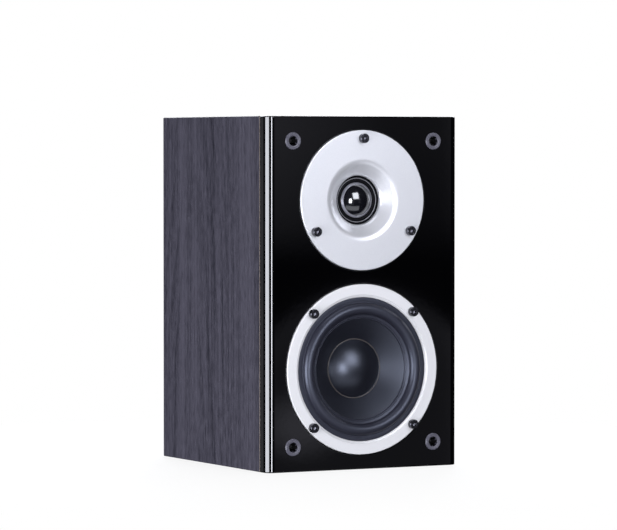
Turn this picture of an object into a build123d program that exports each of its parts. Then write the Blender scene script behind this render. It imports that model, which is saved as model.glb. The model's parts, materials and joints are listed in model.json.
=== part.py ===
from build123d import *
import math
import os

# A two-way bookshelf loudspeaker: a lined chipboard cabinet with a lacquered front baffle, a 5 inch
# woofer, a 25 mm dome tweeter, four grille sockets, a bass port, a terminal cup with two binding
# posts, and a crossover board. All sizes are in millimetres.
# Frame: the origin is the middle of the footprint, on the shelf. +Z is up, the front faces -Y and +X
# is to the right of somebody who looks at the front. Both drivers stand a little left of the middle.
# A driver's parts are drawn about the Y axis as (radius, depth) outlines, where depth 0 is the
# baffle's front face and depth grows to the rear.

# ---- driving dimensions: cabinet ----
cabinet_width = 161.4
cabinet_height = 262.0
cabinet_depth = 174.0
wall = 12.0
baffle_lip = 12.0
baffle_spigot = 6.0
baffle_edge_radius = 6.0
skin_edge_radius = 0.8
seam_chamfer = 0.4
rear_panel_inset = 1.0
panel_clearance = 0.1

# ---- driving dimensions: front of the baffle ----
tweeter_height = 199.8
woofer_height = 74.3
driver_offset = -1.2
faceplate_radius = 52.0
trim_ring_radius = 63.3
plate_proud = 0.9
recess_gap = 0.7
recess_edge_radius = 0.4
tweeter_recess = 4.4
woofer_recess = 4.8
tweeter_cutout_radius = 37.5
woofer_cutout_radius = 56.0
socket_spacing_x = 118.6
socket_spacing_z = 225.4
socket_bore_radius = 3.5

# ---- driving dimensions: screws ----
cap_head_radius = 3.5
cap_head_height = 4.0
cap_shank_radius = 2.0
cap_hex_across_flats = 3.0
shank_clearance = 0.05
woofer_screw_circle = 59.5
tweeter_screw_circle = 45.9
screw_length = 16.0

# ---- driving dimensions: rear ----
port_height = 186.0
port_bore_radius = 17.0
port_length = 90.0
terminal_height = 70.0
post_spacing = 19.05
post_radius = 3.0
banana_radius = 2.0
banana_depth = 13.5

front = -cabinet_depth / 2
rear = cabinet_depth / 2
half_width = cabinet_width / 2
socket_middle = cabinet_height / 2
rear_panel_face = rear - rear_panel_inset
rear_panel_inner = rear_panel_face - wall
sleeve_front = front + baffle_lip


# ---- drawing helpers ----
def outline(*legs):
    """A closed face from a start point and legs: a point is a straight leg, (through, end) an arc."""
    start, here, edges = legs[0], legs[0], []
    for leg in legs[1:]:
        if isinstance(leg[0], tuple):
            edges.append(ThreePointArc(here, leg[0], leg[1]))
            here = leg[1]
        else:
            edges.append(Line(here, leg))
            here = leg
    if here != start:
        edges.append(Line(here, start))
    return make_face(edges)


def lathe(*legs):
    """A solid turned about the Y axis from a (radius, depth) outline."""
    return revolve(outline(*legs), Axis.Y)


def ring(outer, inner, near, far):
    return lathe((inner, near), (outer, near), (outer, far), (inner, far))


def disc(radius, near, far):
    return ring(radius, 0.0, near, far)


def block(x0, x1, y0, y1, z0, z1):
    return Pos((x0 + x1) / 2, (y0 + y1) / 2, (z0 + z1) / 2) * Box(x1 - x0, y1 - y0, z1 - z0)


def around(count, radius, first_angle):
    """Places on a circle about the Y axis, each with its local X pointing outwards."""
    return [Rot(0, -(first_angle + 360 * k / count), 0) * Pos(radius, 0, 0) for k in range(count)]


def hexagon(across_flats, near, far):
    flat = RegularPolygon(across_flats / 2, 6, major_radius=False)
    return Pos(0, far, 0) * extrude(Plane.XZ * flat, far - near)


def sphere_leg(base_radius, base_depth, apex_depth):
    """The leg of a spherical cap's outline from its base to its apex, the base being at the rear."""
    rise = base_depth - apex_depth
    radius = (base_radius**2 + rise**2) / (2 * rise)
    half = base_radius / 2
    return ((half, apex_depth + radius - math.sqrt(radius**2 - half**2)), (0.0, apex_depth))


def sphere_leg_back(base_radius, base_depth, apex_depth):
    """The same leg from its apex to its base."""
    through, _ = sphere_leg(base_radius, base_depth, apex_depth)
    return (through, (base_radius, base_depth))


def lead(points, radius):
    """A round wire on straight runs joined by arcs as large as the runs allow."""
    runs = [(Vector(*b) - Vector(*a)) for a, b in zip(points, points[1:])]
    radii = []
    for before, after in zip(runs, runs[1:]):
        turn = math.radians(before.get_angle(after))
        radii.append(0.45 * min(before.length, after.length) / math.tan(turn / 2))
    print("lead radii", [round(r, 1) for r in radii])
    path = FilletPolyline(*points, radius=radii)
    section = Plane(origin=path @ 0, z_dir=path % 0) * Circle(radius)
    return sweep(section, path)


def save(name, shape):
    solids = shape.solids()
    whole = solids[0] if len(solids) == 1 else Compound(children=list(solids))
    export_step(whole, f"parts/{name}.step")


# ---- cabinet ----
def rounded_sleeve():
    """The folded outer skin: four walls in one, with small radii on the long edges."""
    body = block(-half_width, half_width, sleeve_front, rear, 0, cabinet_height)
    body = fillet(body.edges().filter_by(Axis.Y), skin_edge_radius)
    body = chamfer(body.faces().sort_by(Axis.Y)[0].edges(), seam_chamfer)
    inner = block(wall - half_width, half_width - wall, front, rear + wall, wall, cabinet_height - wall)
    return body - inner


def cabinet_walls():
    """The sleeve cut along its mitres into four walls."""
    left, right, top = -half_width, half_width, cabinet_height
    outer = [(left, 0), (right, 0), (right, top), (left, top)]
    inner = [(left + wall, wall), (right - wall, wall), (right - wall, top - wall), (left + wall, top - wall)]
    sleeve = rounded_sleeve()
    for k, name in enumerate(["bottom_panel", "right_side_panel", "top_panel", "left_side_panel"]):
        after = (k + 1) % 4
        corners = [outer[k], outer[after], inner[after], inner[k]]
        face = make_face(Polyline([(x, front, z) for x, z in corners], close=True))
        prism = extrude(face, cabinet_depth + wall, dir=(0, 1, 0))
        save(name, sleeve & prism)


def socket_places():
    return [
        Pos(sx * socket_spacing_x / 2, front, socket_middle + sz * socket_spacing_z / 2)
        for sx in (-1, 1)
        for sz in (-1, 1)
    ]


def front_baffle():
    lip = block(-half_width, half_width, front, sleeve_front, 0, cabinet_height)
    lip = fillet(lip.edges().filter_by(Axis.Z).group_by(Axis.Y)[0], baffle_edge_radius)
    front_edges = lip.faces().sort_by(Axis.Y)[0].edges().filter_by(Axis.X)
    lip = fillet(front_edges, skin_edge_radius)
    lip = chamfer(lip.faces().sort_by(Axis.Y)[-1].edges(), seam_chamfer)
    spigot_x = half_width - wall - panel_clearance
    spigot_z = wall + panel_clearance
    spigot = block(
        -spigot_x, spigot_x, sleeve_front, sleeve_front + baffle_spigot, spigot_z, cabinet_height - spigot_z
    )
    body = lip + spigot
    thick = baffle_lip + baffle_spigot
    for height, radius, recess, cutout, circle, count, first in (
        (woofer_height, trim_ring_radius, woofer_recess, woofer_cutout_radius, woofer_screw_circle, 4, 45),
        (tweeter_height, faceplate_radius, tweeter_recess, tweeter_cutout_radius, tweeter_screw_circle, 3, 90),
    ):
        place = Pos(driver_offset, front, height)
        edge = radius + recess_gap
        body -= place * lathe(
            (0.0, -1.0),
            (edge + recess_edge_radius, -1.0),
            (edge + recess_edge_radius, 0.0),
            (edge, recess_edge_radius),
            (edge, recess),
            (0.0, recess),
        )
        body -= place * disc(cutout, 0, thick + 1)
        pilot = disc(cap_shank_radius + shank_clearance, 0, thick - 1)
        for spot in around(count, circle, first):
            body -= place * spot * pilot
    for spot in socket_places():
        body -= spot * disc(socket_body_radius + shank_clearance, -1, socket_depth + 0.5)
    return body


def rear_panel():
    edge = half_width - wall - panel_clearance
    low = wall + panel_clearance
    body = block(-edge, edge, rear_panel_inner, rear_panel_face, low, cabinet_height - low)
    body -= Pos(0, 0, port_height) * disc(port_flare_radius + 0.5, 0, rear + 5)
    body -= cup_block(cup_body_x + 0.5, cup_body_z + 0.5, 0, rear + 5)
    pilot = disc(cup_screw_radius + shank_clearance, rear_panel_inner + 1, rear + 5)
    for spot in cup_screw_places():
        body -= spot * pilot
    return body


# ---- grille sockets ----
socket_flange_radius = 6.9
socket_flange_proud = 1.0
socket_body_radius = 5.2
socket_depth = 11.0
socket_mouth = 1.3
socket_inner_radius = 3.7
socket_rib_tip = 2.65


def grille_socket():
    """A plastic cup with a round mouth and six ribs below it that grip the grille's peg."""
    mouth_end = -socket_flange_proud + socket_mouth
    shell = lathe(
        (socket_bore_radius, -socket_flange_proud),
        (socket_flange_radius - 0.8, -socket_flange_proud),
        ((socket_flange_radius - 0.2, -0.75), (socket_flange_radius, -0.1)),
        (socket_flange_radius, 0.0),
        (socket_body_radius, 0.0),
        (socket_body_radius, socket_depth),
        (0.0, socket_depth),
        (0.0, socket_depth - 1.2),
        (socket_inner_radius, socket_depth - 1.2),
        (socket_inner_radius, mouth_end),
        (socket_bore_radius, mouth_end),
    )
    rib_middle = (socket_rib_tip + socket_inner_radius + 0.4) / 2
    rib_length = socket_inner_radius + 0.4 - socket_rib_tip
    deep = socket_depth - 1.0 - mouth_end
    for spot in around(6, rib_middle, 30):
        shell += spot * Pos(0, mouth_end + deep / 2, 0) * Box(rib_length, deep, 0.8)
    return shell


# ---- screws ----
def cap_screw(length):
    """A socket head cap screw; its head stands on depth 0 and its shank runs to the rear."""
    bevel = 0.35
    body = lathe(
        (0.0, -cap_head_height),
        (cap_head_radius - bevel, -cap_head_height),
        (cap_head_radius, bevel - cap_head_height),
        (cap_head_radius, 0.0),
        (cap_shank_radius, 0.0),
        (cap_shank_radius, length - 1.5),
        (0.6, length),
        (0.0, length),
    )
    return body - hexagon(cap_hex_across_flats, -cap_head_height - 1, 2.0 - cap_head_height)


def pan_screw(length):
    """A small pan head screw with a cross slot, drawn like cap_screw."""
    body = lathe(
        (0.0, -2.1), ((2.2, -1.6), (3.1, -0.6)), (3.1, 0.0), (cup_screw_radius, 0.0),
        (cup_screw_radius, length - 1.5), (0.5, length), (0.0, length),
    )
    for turn in (0, 90):
        body -= Rot(0, turn, 0) * Pos(0, -1.6, 0) * Box(3.4, 2.2, 0.8)
    return body


# ---- woofer ----
woofer_place = Pos(driver_offset, front, woofer_height)
ring_back = 1.5
flange_back = 3.6
cone_edge = (40.7, 1.7)
cone_middle = (21.7, 13.3)
cone_neck = (13.2, 19.9)
paper = 0.9
woofer_coil_radius = 12.75
spider_depth = 25.2


def woofer_trim_ring():
    """The polished ring that covers the basket's flange; its inner edge is bevelled."""
    inner, face_inner, bevel = 53.6, 55.0, 0.6
    body = lathe(
        (face_inner, -plate_proud),
        (trim_ring_radius - bevel, -plate_proud),
        (trim_ring_radius, bevel - plate_proud),
        (trim_ring_radius, ring_back),
        (inner, ring_back),
        (inner, ring_back - 1.0),
    )
    hole = disc(cap_shank_radius + 0.2, -2, 3)
    for spot in around(4, woofer_screw_circle, 45):
        body -= spot * hole
    return woofer_place * body


def woofer_basket():
    """Pressed steel: a flange, a windowed cone, a ledge for the spider and a ring for the motor."""
    body = lathe(
        (trim_ring_radius, ring_back),
        (trim_ring_radius, flange_back),
        (54.5, flange_back),
        (53.2, 10.0),
        (45.6, 25.4),
        (38.0, 27.6),
        (38.0, 38.0),
        (14.6, 38.0),
        (14.6, 36.6),
        (36.4, 36.6),
        (36.4, 26.0),
        (44.4, 24.4),
        (51.8, 9.6),
        (52.6, ring_back + 1.2),
        (49.6, ring_back + 1.2),
        (49.6, ring_back),
    )
    for spot in around(6, 49.0, -60):
        body -= spot * Pos(0, 16.2, 0) * Box(20, 11.6, 36)
    hole = disc(cap_shank_radius + 0.2, 0, 5)
    for spot in around(4, woofer_screw_circle, 45):
        body -= spot * hole
    return woofer_place * body


def woofer_gasket():
    body = ring(trim_ring_radius - 0.3, 57.0, flange_back, woofer_recess)
    hole = disc(cap_shank_radius + 0.3, 0, 6)
    for spot in around(4, woofer_screw_circle, 45):
        body -= spot * hole
    return woofer_place * body


def woofer_surround():
    """A rubber half roll between a flat outer flange and an inner flange that lies on the cone."""
    return woofer_place * lathe(
        (53.4, 0.5),
        (49.3, 0.5),
        ((45.1, -3.5), (40.9, 0.5)),
        (37.6, 2.6),
        (37.6, 3.2),
        (41.5, 1.0),
        ((45.1, -2.8), (48.7, ring_back)),
        (53.4, ring_back),
    )


def woofer_cone():
    rim_back = (cone_edge[0], cone_edge[1] + paper)
    neck_back = (cone_neck[0], cone_neck[1] + paper)
    middle_back = (cone_middle[0], cone_middle[1] + paper)
    return woofer_place * lathe(cone_edge, (cone_middle, cone_neck), neck_back, (middle_back, rim_back))


def woofer_dust_cap():
    rim, apex, skin = 21.6, 5.5, 0.7
    return woofer_place * lathe(
        (rim, 13.1),
        sphere_leg(rim, 13.1, apex),
        (0.0, apex + skin),
        sphere_leg_back(rim - 0.6, 13.5, apex + skin),
    )


def woofer_coil_former():
    return woofer_place * ring(woofer_coil_radius + 0.3, woofer_coil_radius, 18.4, 45.0)


def woofer_voice_coil():
    inner = woofer_coil_radius + 0.3
    return woofer_place * ring(inner + 0.5, inner, 35.5, 45.0)


def woofer_spider():
    """A corrugated cloth disc: half waves from its outer flange in to the coil former."""
    outer, inner, cloth, half_waves, height = 34.6, 15.1, 0.5, 7, 1.1
    step = (outer - inner) / half_waves
    waves = []
    for k in range(half_waves):
        side = height if k % 2 else -height
        end = outer - (k + 1) * step
        waves.append(((end + step / 2, spider_depth + side), (end, spider_depth)))
    back = []
    for k in reversed(range(half_waves)):
        side = height if k % 2 else -height
        start = outer - k * step
        back.append(((start - step / 2, spider_depth + side + cloth), (start, spider_depth + cloth)))
    neck = woofer_coil_radius + 0.6
    return woofer_place * lathe(
        (42.2, spider_depth - 1.0),
        (outer, spider_depth),
        *waves,
        (neck, spider_depth),
        (neck, spider_depth + cloth),
        (inner, spider_depth + cloth),
        *back,
        (42.2, spider_depth - 0.5),
    )


def woofer_top_plate():
    return woofer_place * ring(36.0, woofer_coil_radius + 1.35, 38.0, 43.0)


def woofer_magnet():
    return woofer_place * lathe(
        (17.5, 43.0), (39.4, 43.0), (40.0, 43.6), (40.0, 57.4), (39.4, 58.0), (17.5, 58.0)
    )


def woofer_yoke():
    """The back plate and the vented pole piece in one forging."""
    pole = woofer_coil_radius - 0.55
    return woofer_place * lathe(
        (3.5, 37.4), (pole - 0.6, 37.4), (pole, 38.0), (pole, 58.0), (37.0, 58.0),
        (38.0, 59.0), (38.0, 62.0), (36.5, 63.0), (3.5, 63.0),
    )


def woofer_screws():
    screw = Pos(0, -plate_proud, 0) * cap_screw(screw_length)
    return woofer_place * Compound(children=[spot * screw for spot in around(4, woofer_screw_circle, 45)])


def woofer_terminal_strip():
    """A hard paper strip on the basket's lowest leg, with two solder tags."""
    strip = block(-13, 13, 21.0, 22.6, -58.0, -49.2)
    for x in (-9, 9):
        strip += block(x - 2.4, x + 2.4, 20.4, 21.0, -57.0, -50.5)
        strip -= Pos(x, 0, -53.5) * disc(0.9, 20, 24)
    return woofer_place * strip


def woofer_tinsel_leads():
    leads = []
    for side in (-1, 1):
        points = [
            (side * 9.0, 19.6, -51.5),
            (side * 11.5, 18.2, -45.0),
            (side * 12.5, 20.8, -37.5),
            (side * 10.0, 20.2, -30.0),
            (side * 8.0, 15.4, -24.0),
        ]
        leads.append(lead(points, 0.6))
    return woofer_place * Compound(children=leads)


# ---- tweeter ----
tweeter_place = Pos(driver_offset, front, tweeter_height)
plate_back = 3.6
boss_radius = 34.0
throat_radius = 18.2
dish_radius = 28.0
boss_back = dish_radius - throat_radius - plate_proud
dome_radius = 12.6
dome_base = 9.3
dome_apex = 4.1
motor_front = 9.9


def tweeter_faceplate():
    """A cast plate whose face rolls over into the dome's throat; a boss behind it holds the motor."""
    bevel = 0.6
    roll = dish_radius - throat_radius
    halfway = math.pi / 4
    through = (dish_radius - roll * math.sin(halfway), boss_back - roll * math.cos(halfway))
    body = lathe(
        (faceplate_radius - bevel, -plate_proud),
        (faceplate_radius, bevel - plate_proud),
        (faceplate_radius, plate_back),
        (boss_radius, plate_back),
        (boss_radius, boss_back),
        (throat_radius, boss_back),
        (through, (dish_radius, -plate_proud)),
    )
    hole = disc(cap_shank_radius + 0.2, -2, 5)
    for spot in around(3, tweeter_screw_circle, 90):
        body -= spot * hole
    return tweeter_place * body


def tweeter_gasket():
    body = ring(faceplate_radius - 0.4, tweeter_cutout_radius + 0.5, plate_back, tweeter_recess)
    hole = disc(cap_shank_radius + 0.3, 0, 6)
    for spot in around(3, tweeter_screw_circle, 90):
        body -= spot * hole
    return tweeter_place * body


def tweeter_clamp_ring():
    """A black ring behind the throat that holds the surround's flange on the top plate."""
    return tweeter_place * lathe(
        (16.5, boss_back), (27.0, boss_back), (27.0, motor_front), (19.9, motor_front), (19.9, 9.6), (16.5, 9.6)
    )


def tweeter_dome():
    skin = 0.35
    return tweeter_place * lathe(
        (dome_radius, dome_base),
        sphere_leg(dome_radius, dome_base, dome_apex),
        (0.0, dome_apex + skin),
        sphere_leg_back(dome_radius - skin, dome_base, dome_apex + skin),
    )


def tweeter_surround():
    """A doped cloth half roll from the dome's edge to a flange under the clamp ring."""
    inner = dome_radius + 0.1
    return tweeter_place * lathe(
        (19.6, 9.62),
        (15.9, 9.62),
        ((14.3, 8.5), (inner, 9.3)),
        (inner, 9.55),
        ((14.3, 8.8), (15.75, motor_front)),
        (19.6, motor_front),
    )


def tweeter_coil_former():
    return tweeter_place * ring(dome_radius - 0.05, dome_radius - 0.2, dome_base + 0.05, 13.8)


def tweeter_voice_coil():
    inner = dome_radius - 0.05
    return tweeter_place * ring(inner + 0.3, inner, 10.9, 13.6)


def tweeter_top_plate():
    return tweeter_place * ring(36.0, 13.4, motor_front, 13.9)


def tweeter_magnet():
    return tweeter_place * ring(36.0, 17.0, 13.9, 25.9)


def tweeter_yoke():
    return tweeter_place * lathe(
        (0.0, 11.0), (11.2, 11.0), (11.9, 11.7), (11.9, 25.9), (35.0, 25.9), (35.0, 30.0), (34.0, 30.9), (0.0, 30.9)
    )


def tweeter_screws():
    screw = Pos(0, -plate_proud, 0) * cap_screw(screw_length)
    return tweeter_place * Compound(children=[spot * screw for spot in around(3, tweeter_screw_circle, 90)])


def tweeter_terminal_board():
    board = block(-14, 14, 30.9, 32.5, -16, -6)
    for x in (-9, 9):
        board += block(x - 2.4, x + 2.4, 32.5, 33.1, -22, -8)
    return tweeter_place * board


# ---- bass port ----
port_wall = 2.0
port_flare_radius = 28.0
port_flange_radius = 32.0
port_flange_face = rear_panel_face + 2.5


def port_tube():
    """A moulded tube whose mouth flares out to a flange on the rear panel."""
    inner_end = port_flange_face - port_length
    flare_start = port_flange_face - 13.0
    bore, outer = port_bore_radius, port_bore_radius + port_wall
    return Pos(0, 0, port_height) * lathe(
        (bore, inner_end),
        (bore, flare_start),
        ((bore + 3.6, flare_start + 9.2), (port_flare_radius - 1.0, port_flange_face)),
        (port_flange_radius - 0.8, port_flange_face),
        (port_flange_radius, port_flange_face - 0.8),
        (port_flange_radius, rear_panel_face),
        (port_flare_radius, rear_panel_face),
        ((outer + 2.6, flare_start + 4.6), (outer, flare_start - 3.0)),
        (outer, inner_end),
    )


# ---- terminal cup and binding posts ----
cup_plate_x, cup_plate_z = 43.0, 29.0
cup_body_x, cup_body_z = 33.0, 24.0
cup_wall = 2.0
cup_gasket = 1.0
cup_plate_thick = 2.5
cup_floor = 73.0
cup_floor_thick = 3.0
cup_screw_x, cup_screw_z = 38.0, 24.0
cup_screw_radius = 1.5
cup_plate_back = rear_panel_face + cup_gasket
cup_plate_face = cup_plate_back + cup_plate_thick
collar_height = 3.5
knob_start = 3.9
knob_length = 16.0
knob_radius = 7.0
post_end = 21.0
wire_hole_radius = 1.3


def cup_block(half_x, half_z, y0, y1):
    return block(-half_x, half_x, y0, y1, terminal_height - half_z, terminal_height + half_z)


def cup_screw_places():
    return [
        Pos(sx * cup_screw_x, 0, terminal_height + sz * cup_screw_z) for sx in (-1, 1) for sz in (-1, 1)
    ]


def post_places():
    return {side: Pos(sx * post_spacing / 2, cup_floor, terminal_height) for side, sx in (("red", 1), ("black", -1))}


def terminal_cup():
    """A moulded recess with a flange on the rear panel and a floor that carries the two posts."""
    plate = cup_block(cup_plate_x, cup_plate_z, cup_plate_back, cup_plate_face)
    plate = fillet(plate.edges().filter_by(Axis.Y), 6.0)
    plate = chamfer(plate.faces().sort_by(Axis.Y)[-1].edges(), 0.8)
    body = cup_block(cup_body_x, cup_body_z, cup_floor - cup_floor_thick, cup_plate_back)
    body = fillet(body.edges().filter_by(Axis.Y), 5.0)
    hollow = cup_block(cup_body_x - cup_wall, cup_body_z - cup_wall, cup_floor, rear + 10)
    hollow = fillet(hollow.edges().filter_by(Axis.Y), 3.5)
    cup = plate + body - hollow
    for place in post_places().values():
        cup -= place * disc(post_radius + 0.1, -6, 2)
    for spot in cup_screw_places():
        cup -= spot * disc(cup_screw_radius + 0.2, rear_panel_inner, rear + 5)
    return cup


def terminal_cup_gasket():
    body = cup_block(cup_plate_x - 1, cup_plate_z - 1, rear_panel_face, cup_plate_back)
    body = fillet(body.edges().filter_by(Axis.Y), 5.0)
    body -= cup_block(cup_body_x + 0.5, cup_body_z + 0.5, 0, rear + 5)
    for spot in cup_screw_places():
        body -= spot * disc(cup_screw_radius + 0.3, rear_panel_inner, rear + 5)
    return body


def terminal_cup_screws():
    screw = Pos(0, cup_plate_face, 0) * Rot(180, 0, 0) * pan_screw(12.0)
    return Compound(children=[spot * screw for spot in cup_screw_places()])


def binding_post_studs():
    """Two plated studs, each with a blind banana bore and a cross hole for bare wire."""
    stud = lathe(
        (0.0, -11.0),
        (post_radius - 0.4, -11.0),
        (post_radius, -10.6),
        (post_radius, post_end - 0.5),
        (post_radius - 0.5, post_end),
        (banana_radius, post_end),
        (banana_radius, post_end - banana_depth),
        (0.0, post_end - banana_depth),
    )
    cross = Pos(0, collar_height + 1.7, 0) * Cylinder(wire_hole_radius, 4 * post_radius)
    return Compound(children=[place * (stud - cross) for place in post_places().values()])


def post_collar():
    """The coloured insulating washer on the cup's floor."""
    return lathe(
        (post_radius + 0.1, 0.0), (8.0, 0.0), (8.0, collar_height - 0.6), (7.4, collar_height),
        (post_radius + 0.1, collar_height),
    )


def post_nuts():
    nut = hexagon(8.0, -7.3, -3.8) - disc(post_radius + shank_clearance, -8, 0)
    return Compound(children=[place * nut for place in post_places().values()])


def post_solder_tags():
    """Tinned eyelets between the cup's floor and the nuts, each with a tail that points down."""
    tag = disc(5.0, -3.8, -cup_floor_thick) + block(-2.0, 2.0, -3.8, -cup_floor_thick, -14.0, -3.5)
    tag -= disc(post_radius + shank_clearance, -8, 0)
    tag -= Pos(0, 0, -11.8) * disc(0.9, -8, 0)
    return Compound(children=[place * tag for place in post_places().values()])


def post_clamp_washer():
    """A captive washer under the knob: it rides in and out with the knob without turning."""
    return ring(6.0, post_radius + 0.06, knob_start - 0.35, knob_start + 0.35)


def post_knob_insert():
    """The threaded sleeve moulded into the knob, drawn with a plain running bore."""
    return ring(4.6, post_radius + 0.05, knob_start + 0.9, knob_start + 10.9)


def post_knob():
    """A fluted plastic cap nut; the banana plug goes in through the hole in its end."""
    start, end = knob_start + 0.6, knob_start + knob_length
    grip_end = end - 3.0
    flutes, flute_radius = 14, 0.85
    body = lathe(
        (post_radius + 0.35, start),
        (knob_radius - 0.6, start),
        (knob_radius, start + 0.6),
        (knob_radius, grip_end),
        (knob_radius - 1.6, end - 0.6),
        (knob_radius - 2.2, end),
        (post_radius + 0.35, end),
    )
    for spot in around(flutes, knob_radius + 0.35, 0):
        body -= spot * disc(flute_radius, start + 1.4, end + 1)
    return body - ring(4.6, 0.0, knob_start + 0.9, knob_start + 10.9)


# ---- crossover ----
board_low = wall + 8.0
board_thick = 1.6
board_top = board_low + board_thick
board_x = 50.0
board_front, board_rear = -15.0, 65.0
standoff_places = [(x, y) for x in (-45.0, 45.0) for y in (-10.0, 60.0)]


def crossover_board():
    body = block(-board_x, board_x, board_front, board_rear, board_low, board_top)
    body = fillet(body.edges().filter_by(Axis.Z), 3.0)
    for x, y in standoff_places:
        body -= Pos(x, y, board_top) * Cylinder(1.7, 6)
    return body


def crossover_standoffs():
    """Nylon pillars on the bottom panel with snap heads above the board."""
    solids = []
    for x, y in standoff_places:
        pillar = Pos(x, y, (wall + board_low) / 2) * Cylinder(3.5, board_low - wall)
        neck = Pos(x, y, board_low + 1.2) * Cylinder(1.6, 2.4)
        head = Pos(x, y, board_top + 1.8) * Cone(2.4, 1.0, 2.0)
        solids.append(pillar + neck + head)
    return Compound(children=solids)


def wound_coil(outer, inner, height):
    """A bobbin with copper wound on it, standing on its own base, as two solids in one group."""
    flange = 1.5
    bobbin = Cylinder(outer + 1, flange) + Pos(0, 0, height - flange) * Cylinder(outer + 1, flange)
    bobbin += Pos(0, 0, (height - flange) / 2) * Cylinder(inner, height)
    bobbin -= Pos(0, 0, (height - flange) / 2) * Cylinder(inner - 1.5, height + 2)
    winding = Cylinder(outer, height - 2 * flange) - Cylinder(inner + 0.05, height)
    return Pos(0, 0, flange / 2) * Compound(
        children=[bobbin, Pos(0, 0, (height - flange) / 2) * winding]
    )


def bass_inductor():
    return Pos(-25, 41, board_top) * wound_coil(20.0, 9.0, 20.0)


def treble_inductor():
    return Pos(18, 47, board_top + 13.1) * Rot(0, 90, 0) * wound_coil(12.0, 6.0, 15.0)


def crossover_capacitors():
    """Two film capacitors lying on the board."""
    first = Pos(25, 22, board_top + 8) * Rot(0, 90, 0) * Cylinder(8, 36)
    second = Pos(-26, 6, board_top + 7) * Rot(0, 90, 0) * Cylinder(7, 30)
    return Compound(children=[fillet(can.edges(), 1.2) for can in (first, second)])


def crossover_resistors():
    """Two cement power resistors."""
    return Compound(
        children=[
            chamfer(block(10, 34, y - 4.5, y + 4.5, board_top, board_top + 9).edges(), 0.6) for y in (4, -8)
        ]
    )


# ---- wiring ----
def input_wires():
    tail = terminal_height - 12.5
    tag_back = cup_floor - 5.2
    black = [(-9.5, tag_back, tail), (-8.0, 61.5, 46.0), (0.0, 58.0, 36.0), (4.0, 55.0, board_top + 1.2)]
    red = [(9.5, tag_back, tail), (10.5, 61.0, 47.0), (10.0, 62.0, 34.0), (8.0, 58.0, board_top + 1.2)]
    return Compound(children=[lead(black, 1.0), lead(red, 1.0)])


def woofer_wires():
    leads = []
    for side in (-1, 1):
        points = [
            (side * 5.0, -16.4, 20.8),
            (side * 4.0, -30.0, 17.0),
            (side * 5.0, -44.0, 18.6),
            (side * 9.0, -57.0, 17.6),
            (side * 9.0, -62.9, 19.6),
        ]
        leads.append(lead(points, 1.0))
    return Pos(driver_offset, 0, 0) * Compound(children=leads)


def tweeter_wires():
    """Two wires up the right wall and across to the tags behind the tweeter."""
    wall_x = half_width - wall - 3.2
    first = [
        (54.3, -3.0, 21.0),
        (58.0, -18.0, 25.0),
        (wall_x, -32.0, 44.0),
        (wall_x - 0.3, -37.0, 72.0),
        (wall_x, -38.0, 102.0),
        (wall_x - 0.3, -37.0, 130.0),
        (wall_x - 2, -41.0, 158.0),
        (46.0, -46.0, 176.0),
        (24.0, -50.0, 178.0),
        (9.0 + driver_offset, -51.5, 180.6),
    ]
    second = [
        (51.4, -4.6, 21.0),
        (55.4, -20.0, 26.6),
        (wall_x, -34.8, 43.0),
        (wall_x - 0.3, -39.6, 74.0),
        (wall_x, -40.6, 103.0),
        (wall_x - 0.3, -39.6, 131.0),
        (wall_x - 3, -43.2, 156.0),
        (44.0, -48.0, 172.6),
        (20.0, -52.0, 174.2),
        (0.0, -52.6, 174.6),
        (driver_offset - 9.0, -51.8, 180.6),
    ]
    return Compound(children=[lead(first, 1.0), lead(second, 1.0)])


def wire_clips():
    """Two saddles on the right wall, each with a window that the tweeter's wires pass through."""
    wall_x = half_width - wall
    clips = []
    for z in (76.0, 126.0):
        saddle = block(wall_x - 6.0, wall_x, -44.0, -34.0, z - 4, z + 4)
        clips.append(saddle - block(wall_x - 4.9, wall_x - 1.6, -42.4, -35.4, z - 5, z + 5))
    return Compound(children=clips)


# ---- acoustic lining ----
def acoustic_foam():
    """Soft pads on the side walls and under the top."""
    inner_x = half_width - wall
    pads = [
        block(-inner_x, 14 - inner_x, -22, 66, 100, 236),
        block(inner_x - 14, inner_x, -22, 66, 100, 236),
        block(-52, 52, -46, 66, cabinet_height - wall - 12, cabinet_height - wall),
    ]
    return Compound(children=[fillet(pad.edges(), 2.5) for pad in pads])


# ---- write every node ----
os.makedirs("parts", exist_ok=True)
cabinet_walls()

single_nodes = [
    front_baffle, rear_panel,
    woofer_trim_ring, woofer_basket, woofer_gasket, woofer_surround, woofer_cone, woofer_dust_cap,
    woofer_coil_former, woofer_voice_coil, woofer_spider, woofer_top_plate, woofer_magnet, woofer_yoke,
    woofer_screws, woofer_terminal_strip, woofer_tinsel_leads,
    tweeter_faceplate, tweeter_gasket, tweeter_clamp_ring, tweeter_dome, tweeter_surround,
    tweeter_coil_former, tweeter_voice_coil, tweeter_top_plate, tweeter_magnet, tweeter_yoke,
    tweeter_screws, tweeter_terminal_board,
    port_tube, terminal_cup, terminal_cup_gasket, terminal_cup_screws,
    binding_post_studs, post_nuts, post_solder_tags,
    crossover_board, crossover_standoffs, bass_inductor, treble_inductor, crossover_capacitors,
    crossover_resistors, input_wires, woofer_wires, tweeter_wires, wire_clips, acoustic_foam,
]
for make in single_nodes:
    save(make.__name__, make())

save("grille_sockets", Compound(children=[spot * grille_socket() for spot in socket_places()]))
for side, place in post_places().items():
    save(f"{side}_post_collar", place * post_collar())
    save(f"{side}_clamp_washer", place * post_clamp_washer())
    save(f"{side}_knob_insert", place * post_knob_insert())
    save(f"{side}_post_knob", place * post_knob())
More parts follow.
